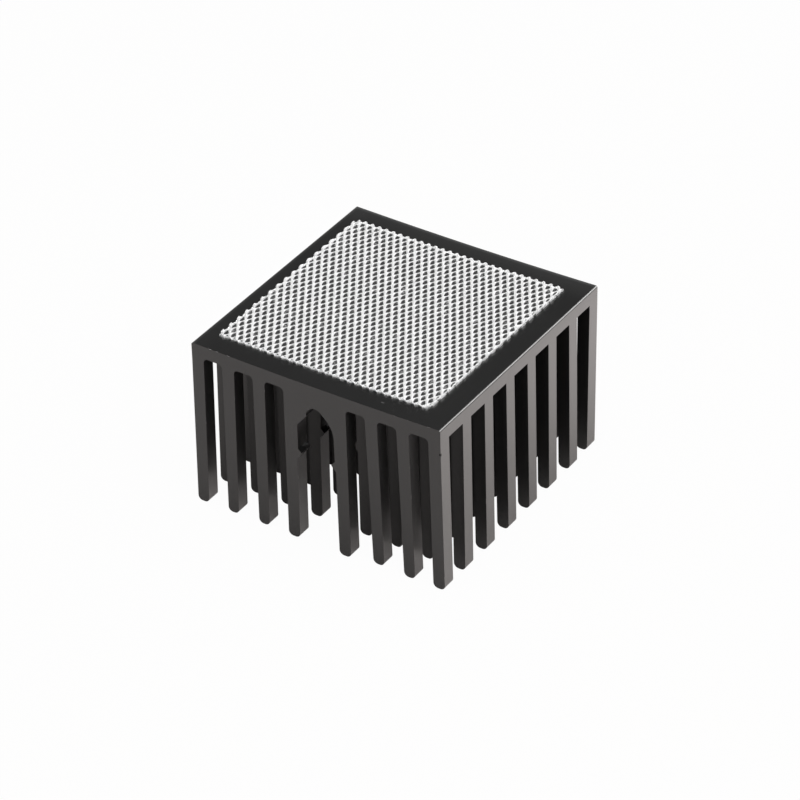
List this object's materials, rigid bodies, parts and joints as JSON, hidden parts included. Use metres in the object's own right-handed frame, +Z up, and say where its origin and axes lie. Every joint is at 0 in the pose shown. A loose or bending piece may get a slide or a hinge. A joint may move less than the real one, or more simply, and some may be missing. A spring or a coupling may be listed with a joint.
{
  "type": "pin fin heat sink",
  "caption": "Square black pin-fin heat sink for a chip package, with a clip channel between its fins and an expanded-foil thermal tape on its mounting face.",
  "frame": {"origin": "below the middle of the extruded body, on the surface that the pin tips stand on", "axes": "+X across the fins, +Y along the extrusion and the clip channel, +Z up out of the taped mounting face"},
  "size_m": [0.027, 0.0274, 0.0183],
  "materials": {
    "black_anodised": "matt black anodised over extruded and saw-cut aluminium, with a few bare nicks on its edges",
    "foil_mesh": "bright slit and stretched foil bedded in clear adhesive"
  },
  "bodies": {
    "root": {"heat_sink": "black_anodised", "thermal_tape": "foil_mesh"}
  },
  "joints": []
}
